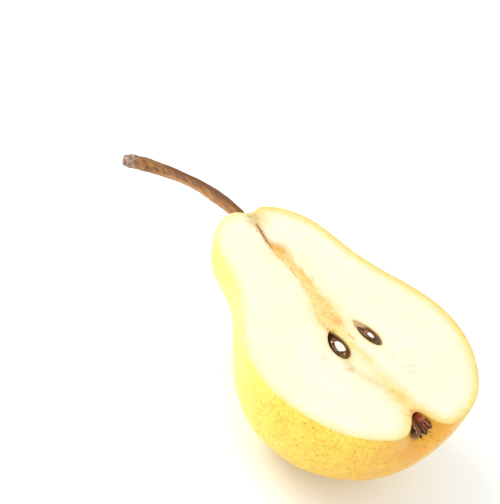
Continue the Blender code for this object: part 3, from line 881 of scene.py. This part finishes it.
def fruit():
    outline = fruit_outline()
    angles = np.linspace(0, math.pi, HALF_ROUND_STEPS + 1)
    skin = skin_grid(outline, angles)
    rows, round_ = len(outline), len(angles)
    faces = []
    for r in range(rows - 1):
        for k in range(round_ - 1):
            a = r * round_ + k
            faces.append((a, a + 1, a + round_ + 1, a + round_))
    looks = [0] * len(faces)
    # The rim of the skin, once round, then the cut face inside it.
    order = [r * round_ for r in range(rows)] + [r * round_ + round_ - 1 for r in range(rows - 2, 0, -1)]
    rim = skin[order][:, [0, 2]]
    holes = [chamber_loop(name) for name in CHAMBERS]
    verts, tris, index_of = cut_face([brought_in(rim)] + holes)
    notch = rim[(np.abs(rim[:, 0]) < 7.5) & (rim[:, 1] < 8.0)]
    marks, height = face_marks(verts, notch[np.argsort(notch[:, 0])])
    gap = from_loop(verts, rim)
    height *= np.clip((gap - RIM_ROUND) / 0.8, 0, 1)
    for loop in holes:
        height *= np.clip(from_loop(verts, loop) / 0.5, 0, 1)
    first = len(skin)
    total = [skin, np.stack([verts[:, 0], height, verts[:, 1]], axis=1)]
    faces += [(first + int(a), first + int(b), first + int(c)) for a, b, c in tris]
    n = len(rim)
    for k in range(n):
        m = (k + 1) % n
        faces.append((order[k], order[m], first + index_of[m], first + index_of[k]))
    looks += [1] * (len(tris) + n)
    # The bowls of the seed chambers.
    count = first + len(verts)
    told = {key: [np.zeros(count)] for key in ("deep", "upward", "pale_and_lit", "grey", "lit")}
    offset = n
    for name, loop in zip(CHAMBERS, holes):
        n = len(loop)
        ring = [first + index_of[offset + k] for k in range(n)]
        offset += n
        bowl_rows, bottom, bowl_told = bowl(name, loop)
        total += bowl_rows + [bottom]
        for key, value in bowl_told.items():
            told[key] += value
        for _ in bowl_rows:
            fresh = list(range(count, count + n))
            count += n
            faces += [(ring[k], ring[(k + 1) % n], fresh[(k + 1) % n], fresh[k]) for k in range(n)]
            ring = fresh
        faces += [(ring[k], ring[(k + 1) % n], count) for k in range(n)]
        looks += [2] * (n * (len(bowl_rows) + 1))
        count += 1
    total = np.concatenate(total)
    values = {key: np.concatenate([np.zeros(first), value, np.zeros(count - first - len(value))])
              for key, value in marks.items()}
    values["rim"] = np.concatenate([np.zeros(first), gap, np.full(count - first - len(gap), 9.0)])
    values.update({key: np.concatenate(value) for key, value in told.items()})
    values["ripe"] = ripeness(total)
    values["cork"], values["hollow"], values["scar"] = cork(total)
    values["gild"] = soft_step(-total[:, 0], -2.5, 5.0) * (0.55 + 0.45 * soft_step(total[:, 2], 8.0, 30.0))
    values["edge"] = np.exp(-np.maximum(-total[:, 1], 0) / 0.35)
    return piece("fruit_half_detail", total, faces, [skin_look(), flesh_look(), chamber_look()],
                 "fruit_half", values, looks)


def ripeness(points):
    """0 where the skin is palest and greenest, 1 where it is most golden."""
    x, y, z = points.T
    low = np.clip(-y / BELLY_DEPTH, 0, 1)
    bottom = np.clip(1 - z / BODY_LENGTH, 0, 1)
    away = np.hypot(x, y + 2.0)
    calyx = bell(np.maximum(away - 5, 0), 10) * bell(z, 9.0)
    return 0.02 + 0.56 * bottom**3 + 0.44 * low**2 * bottom + 0.36 * calyx


def cork(points):
    """Where the skin is corky, where shade is painted dark under the sepals, and where it is red at the calyx's
    root.
    """
    x, y, z = points.T
    calyx = bell(np.hypot(x, y), 3.0) * (z < 9)
    foot = np.hypot(x - STEM_ROOT_AT.x, y - STEM_ROOT_AT.y)
    stem = bell(np.maximum(foot - 1.5, 0), 1.3) * (z > BODY_LENGTH - 7)
    # Painted shade: a dark patch in the hollow under the sepals.
    place = np.stack([x - 0.4, y + 2.6, z - 2.7], axis=1) / (2.7, 2.6, 2.4)
    hollow_shade_mask = soft_step(np.exp(-1.1 * (place**2).sum(axis=1)), 0.12, 0.60)
    scar = bell(np.hypot(x + 0.2, y + 0.6), 1.5) * soft_step(z, 5.0, 6.2) * (z < 9)
    return np.clip(0.7 * calyx + 0.9 * stem, 0, 1), hollow_shade_mask, np.clip(1.3 * scar, 0, 1)


# ---- seeds ---------------------------------------------------------------------------------------
SHRIVEL, ASIDE = 0.94, (-0.13, 0.08)    # the seeds have shrunk a little, away from the wall on their left
KERNEL_SHOWS = {"left": (0.26, 0.76), "right": (0.10, 0.58)}    # from and to, as shares of the seed
SEED_PAINTED_HIGHLIGHTS = {"left": ((6.3, 30.3), (6.9, 35.3)), "right": ()}    # painted highlights: spots of the coat painted kernel-white where the wet coat glints


def seed(name):
    across, along, lean, width = CHAMBERS[name]
    size, slipped, above = SEEDS[name]
    length = size * (CHAMBER_LENGTH - 2 * SEED_GAP)
    wide = size * (width - 2 * SEED_GAP)
    thick = SEED_FLATNESS * CHAMBER_WIDTH * size
    line = kernel_line(wide, length, SEED_STEPS)
    angle = np.linspace(0, 2 * math.pi, SEED_ROUND, endpoint=False)
    ridge = 1 + 0.012 * np.sin(5 * angle + 0.7) + 0.015 * np.cos(2 * angle + 1.0)
    ring = np.stack([np.cos(angle) * ridge, np.sin(angle) * ridge * thick / wide, 0 * angle], axis=1)
    rows = [radius * ring + (0, 0, up) for radius, up in line[1:-1]]
    points, faces = closed_tube(rows, (0, 0, line[0, 1]), (0, 0, line[-1, 1]))
    share = (points[:, 2] + length / 2) / length
    flat = SHRIVEL * (points[:, [0, 2]] - (0, slipped * CHAMBER_LENGTH)) + ASIDE
    flat = turned_by(flat, lean)
    points = np.stack([flat[:, 0] + across, points[:, 1] - above * thick / 2, flat[:, 1] + along], axis=1)
    opened_and_glint = points[:, 1].copy()
    points[:, 1] = -soft_floor(-opened_and_glint, 0.0, 0.02)
    # The kernel does not fill the seed's point; the right one shows only its broad end.
    low, top = KERNEL_SHOWS[name]
    closed = soft_step(share, top - 0.10, top + 0.10)
    opened_and_glint -= 0.5 * closed + 0.5 * soft_step(-share, -low, 0.08 - low)
    rusty = (name == "right") * closed * soft_step(-share, -0.86, -0.80)
    rusty = rusty * soft_step(opened_and_glint + 0.5, -0.05, 0.05)
    # Painted highlights: small spots of the coat are painted kernel-white where the wet coat glints.
    for across_, along_ in SEED_PAINTED_HIGHLIGHTS[name]:
        near = np.hypot(points[:, 0] - across_, points[:, 2] - along_)
        opened_and_glint += 0.9 * bell(near, 0.3) * (points[:, 1] > -0.6)
    return piece("seed_%s_detail" % name, points, faces, [SEED_LOOK], "seed_" + name,
                 {"share": share, "opened_and_glint": opened_and_glint, "rusty": rusty})


# ---- stem ----------------------------------------------------------------------------------------
LIT_SIDE_ANGLE = -125.0      # degrees round the stem, from its right towards its top: the side painted pale as lit, the opposite side painted dark as shaded
BARK = 0.11             # how much the bark's ridges thicken it outside the fruit


def stem():
    knots, widths = [], []
    for up, sway, drop, radius in STEM_PATH:
        knots.append(STEM_ROOT_AT + Vector((STEM_SWAY * sway, -STEM_DROP * drop, STEM_REACH * up)))
        widths.append(radius)
    line = smooth_line(knots, STEM_STEPS)
    at = np.linspace(0, len(knots) - 1, len(line))
    radius = np.interp(at, range(len(knots)), widths)
    for _ in range(30):
        radius[1:-1] = (radius[:-2] + 2 * radius[1:-1] + radius[2:]) / 4
    run = np.concatenate([[0], np.cumsum(np.linalg.norm(np.diff(line, axis=0), axis=1))])
    share = run / run[-1]
    radius = radius * (1 + 0.10 * bell(share - 0.13, 0.03))
    radius *= 1 + BARK * soft_step(share, 0.12, 0.26) * soft_step(-share, -0.93, -0.86)
    radius *= 1 - 0.14 * np.clip((share - 0.955) / 0.045, 0, 1) ** 2
    tangent = np.gradient(line, axis=0)
    tangent /= np.linalg.norm(tangent, axis=1)[:, None]
    side = np.cross(tangent, (0.0, 1.0, 0.0))
    side /= np.linalg.norm(side, axis=1)[:, None]
    over = np.cross(side, tangent)
    angle = np.linspace(0, 2 * math.pi, STEM_ROUND, endpoint=False)
    ring = np.stack([np.cos(angle), np.sin(angle)], axis=1)
    rows = []
    for k in range(len(line)):
        wrinkle = (
            0.030 * np.sin(5 * angle + 3.0 * math.sin(share[k] * 5) + 1.0)
            + 0.022 * np.sin(9 * angle + 4.0 * share[k])
            + 0.018 * np.sin(14 * angle - 6 * share[k])
        )
        r = radius[k] * (0.985 + wrinkle + 0.02 * math.sin(share[k] * 60) * math.sin(share[k] * 23))
        rows.append(line[k] + r[:, None] * (ring[:, :1] * side[k] + ring[:, 1:] * over[k] * 0.96))
    # The far end: a rounded, puckered cap.
    tip, way = line[-1], tangent[-1]
    rim = rows[-1] - tip
    for turn in np.linspace(0, math.pi / 2, STEM_CAP_ROWS + 1)[1:-1]:
        rows.append(tip + rim * math.cos(turn) + way * radius[-1] * 0.55 * math.sin(turn))
    extra = STEM_CAP_ROWS - 1
    share = np.repeat(np.concatenate([share, np.ones(extra)]), STEM_ROUND)
    centre = np.repeat(np.concatenate([line, np.tile(tip, (extra, 1))]), STEM_ROUND, axis=0)
    points = np.concatenate(rows)
    away = points - centre
    away /= np.maximum(np.linalg.norm(away, axis=1), 1e-6)[:, None]
    rough = (share > 0.93) * 1.0
    lift = (0.02 + 0.06 * rough) * waves(points, 0.9, 41) + 0.03 * waves(points, 0.4, 42) * rough
    points = points + away * lift[:, None]
    end = tip + way * radius[-1] * 0.45
    points, faces = closed_tube(points.reshape(-1, STEM_ROUND, 3), line[0], end)
    # Painted light and shade: 1 on the side painted lit, 0 on the side painted shaded.
    lit_side_share = np.tile(0.5 + 0.5 * np.cos(angle - math.radians(LIT_SIDE_ANGLE)), len(rows))
    return piece("stem_detail", points, faces, [bark_look()], "stem",
                 {"share": np.append(share, (0.0, 1.0)), "side": np.append(lit_side_share, (0.5, 0.5))})


# ---- calyx ---------------------------------------------------------------------------------------
SEPAL_LIT_EDGE = (-1, 1, -1, 1)      # which edge of each sepal is painted pale as its lit upper edge
# How far each sepal has shrivelled: its length and width against the CAD's, and its twist in radians.
SHRIVELLED = ((0.62, 1.50, 0.95), (0.74, 1.45, -0.35), (0.88, 1.35, 0.45), (0.84, 1.35, -0.80))


def sepal(number):
    """A dried blade: ribbed, wrinkled, thin and ragged at its edges, and curled at its tip."""
    apart = math.radians(SEPAL_FAN / (SEPALS - 1))
    turn = apart * (number - (SEPALS - 1) / 2.0)
    longer, wider, twist = SHRIVELLED[number]
    count, round_ = 40, 36
    angle = np.linspace(0, 2 * math.pi, round_, endpoint=False)
    side, through = np.cos(angle), np.sin(angle)
    place = np.zeros(3)
    rows, shares, ribs_and_lit_edges = [], [], []
    for row in range(count + 1):
        share = row / count
        lean = math.radians(SEPAL_FLARES[number] + SEPAL_CURL * share**2)
        leaf = 0.55 + 0.45 * math.sin(math.pi * min(1.1 * share, 1.0))
        half = 0.5 * SEPAL_WIDTH * wider * leaf * (1.0 - 0.36 * share)
        half *= 1 + 0.10 * math.sin(17 * share + 2 * number)
        half *= 1.0 if share < 0.90 else math.sqrt(max(1 - ((share - 0.90) / 0.105) ** 2, 0.08))
        thick = 0.5 * SEPAL_THICKNESS * (1.0 - 0.45 * share) * (0.35 + 0.65 * np.sqrt(1 - 0.96 * side**2))
        rib = 0.12 * np.cos(3.2 * math.pi * side + number) * (1 - side**2)
        rib = rib + 0.14 * bell(side, 0.16)
        cup = -0.34 * half * np.abs(side) ** 1.6 + 0.12 * math.sin(9 * share + number) * side
        out = cup + thick * through + rib * (0.7 - 0.3 * share) + 0.06 * np.sin(23 * share + 4 * side)
        c, s_ = math.cos(twist * share**0.6), math.sin(twist * share**0.6)
        local = np.stack([c * half * side - s_ * out, s_ * half * side + c * out], axis=1)
        normal = np.array([0.0, math.cos(lean), -math.sin(lean)])
        rows.append(place + local[:, :1] * (1.0, 0.0, 0.0) + local[:, 1:] * normal)
        shares.append(np.full(round_, share))
        # The rib, and the edge painted pale as the lit upper edge.
        ribs_and_lit_edges.append(0.8 * bell(side, 0.20) + (side * SEPAL_LIT_EDGE[number] > 0.80))
        place = place - np.array([0.0, math.sin(lean), math.cos(lean)]) * SEPAL_LENGTH * longer / count
    points, faces = closed_tube(rows, rows[0].mean(axis=0), rows[-1].mean(axis=0))
    points = points + 0.05 * waves(points, 0.5, 70 + number)[:, None] * (0.6, 1.0, 0.4)
    c, s_ = math.cos(turn), math.sin(turn)
    core = core_lean(SEPAL_FOOT_ALONG / BODY_LENGTH)
    foot = np.array([s_ * SEPAL_RING + core, -c * DEEPER * SEPAL_RING - SEPAL_BELOW_CUT, SEPAL_FOOT_ALONG])
    placed = np.stack([c * points[:, 0] - s_ * points[:, 1], s_ * points[:, 0] + c * points[:, 1],
                       points[:, 2]], axis=1) + foot
    name = "sepal_%d" % (number + 1)
    return piece(name + "_detail", placed, faces, [SEPAL_LOOK], name,
                 {"share": np.concatenate(shares + [[0.0, 1.0]]), "rib": np.concatenate(ribs_and_lit_edges + [[0.0, 0.5]])})


SHRUNK = (0.72, 0.84, 0.68)     # each stamen's length against the CAD's


def stamen(number):
    """A dried, shrunken thread, grooved along its length, with a shrivelled head."""
    across = STAMEN_SPACING * (number - (STAMENS - 1) / 2.0)
    core = core_lean(STAMEN_FOOT_ALONG / BODY_LENGTH)
    foot = Vector((core + across, -STAMEN_BELOW_CUT, STAMEN_FOOT_ALONG))
    length = STAMEN_LENGTH * SHRUNK[number]
    line = smooth_line(
        [foot,
         foot + Vector((0.10 * across, -0.0002, -0.4 * length)),
         foot + Vector((0.45 * across, 0.0, -length * (1.0 - 0.06 * number)))],
        22,
    )
    run = np.linspace(0, 1, len(line))
    round_ = 20
    angle = np.linspace(0, 2 * math.pi, round_, endpoint=False)
    rows, shares = [], []
    for k, share in enumerate(run):
        radius = STAMEN_RADIUS * (1.20 - 0.40 * share + 0.10 * math.sin(19 * share + number))
        radius *= 1 + 0.42 * math.exp(-(((share - 0.93) / 0.055) ** 2))
        radius *= math.sqrt(max(1 - max(share - 0.955, 0) ** 2 / 0.045**2, 0.05))
        ridges = 0.16 * np.sin(3 * angle + 5 * share + number) + 0.07 * np.sin(7 * angle - 9 * share)
        ring = radius * (1 + ridges)
        bend = 0.10 * math.sin(7 * share + 2.0 * number)
        ring = np.stack([np.cos(angle) * ring + bend, np.sin(angle) * ring, 0 * angle], axis=1)
        rows.append(line[k] + ring)
        shares.append(np.full(round_, share))
    points, faces = closed_tube(rows, rows[0].mean(axis=0), rows[-1].mean(axis=0))
    points = points + 0.03 * waves(points, 0.35, 80 + number)[:, None]
    name = "stamen_%d" % (number + 1)
    return piece(name + "_detail", points, faces, [STAMEN_LOOK], name,
                 {"share": np.concatenate(shares + [[0.0, 1.0]])})


# ---- light and floor -----------------------------------------------------------------------------
SKY_LIGHT, BACKDROP = 0.94, 1.05
KEY_POWER, KEY_SIZE, KEY_DISTANCE = 7.6, 0.8, 1.1
KEY_WAY, KEY_AIM = (-1.0, -0.8, 1.35), (-0.01, 0.0, 0.02)
FLOOR_HALF = 4.0


def studio():
    world_ = bpy.data.worlds.new("studio")
    bpy.context.scene.world = world_
    world_.use_nodes = True
    tree = world_.node_tree
    sky = tree.nodes["Background"]
    sky.inputs["Color"].default_value = (1, 1, 1, 1)
    # The backdrop is white to look at, and lights the object less than it shows.
    seen = tree.nodes.new("ShaderNodeLightPath").outputs["Is Camera Ray"]
    strength = tree.nodes.new("ShaderNodeMapRange")
    strength.inputs["To Min"].default_value = SKY_LIGHT
    strength.inputs["To Max"].default_value = BACKDROP
    tree.links.new(seen, strength.inputs["Value"])
    tree.links.new(strength.outputs["Result"], sky.inputs["Strength"])
    view = bpy.context.scene.view_settings
    view.view_transform = "Standard"
    view.look = "None"

    light = bpy.data.lights.new("key", "AREA")
    light.shape = "RECTANGLE"
    light.size = light.size_y = KEY_SIZE
    light.energy = KEY_POWER
    key = bpy.data.objects.new("key", light)
    way = Vector(KEY_WAY).normalized()
    key.location = Vector(KEY_AIM) + way * KEY_DISTANCE
    key.rotation_mode = "QUATERNION"
    key.rotation_quaternion = way.to_track_quat("Z", "Y")
    bpy.context.collection.objects.link(key)

    floor_mesh = bpy.data.meshes.new("floor")
    corners = [(FLOOR_HALF * x, FLOOR_HALF * y, 0) for x, y in ((-1, -1), (1, -1), (1, 1), (-1, 1))]
    floor_mesh.from_pydata(corners, [], [(0, 1, 2, 3)])
    floor = bpy.data.objects.new("floor", floor_mesh)
    bpy.context.collection.objects.link(floor)
    look = Look("paper")
    grain = look.noise(1.2, 3.0)
    colour = look.mix(grain, (0.885, 0.90, 0.925), (0.905, 0.92, 0.945))
    look.finish(colour, look.ramp(grain, 0.3, 0.7, 0.8, 0.9), look.bump(grain, 0.05, 0.05),
                Specular_IOR_Level=0.2, Emission_Color=(0.92, 0.97, 1.0, 1.0), Emission_Strength=0.12)
    floor_mesh.materials.append(look.made)


camera()
fruit()
SEED_LOOK = seed_look()
for side_name in CHAMBERS:
    seed(side_name)
stem()
SEPAL_LOOK, STAMEN_LOOK = sepal_look(), stamen_look()
for which in range(SEPALS):
    sepal(which)
for which in range(STAMENS):
    stamen(which)
studio()
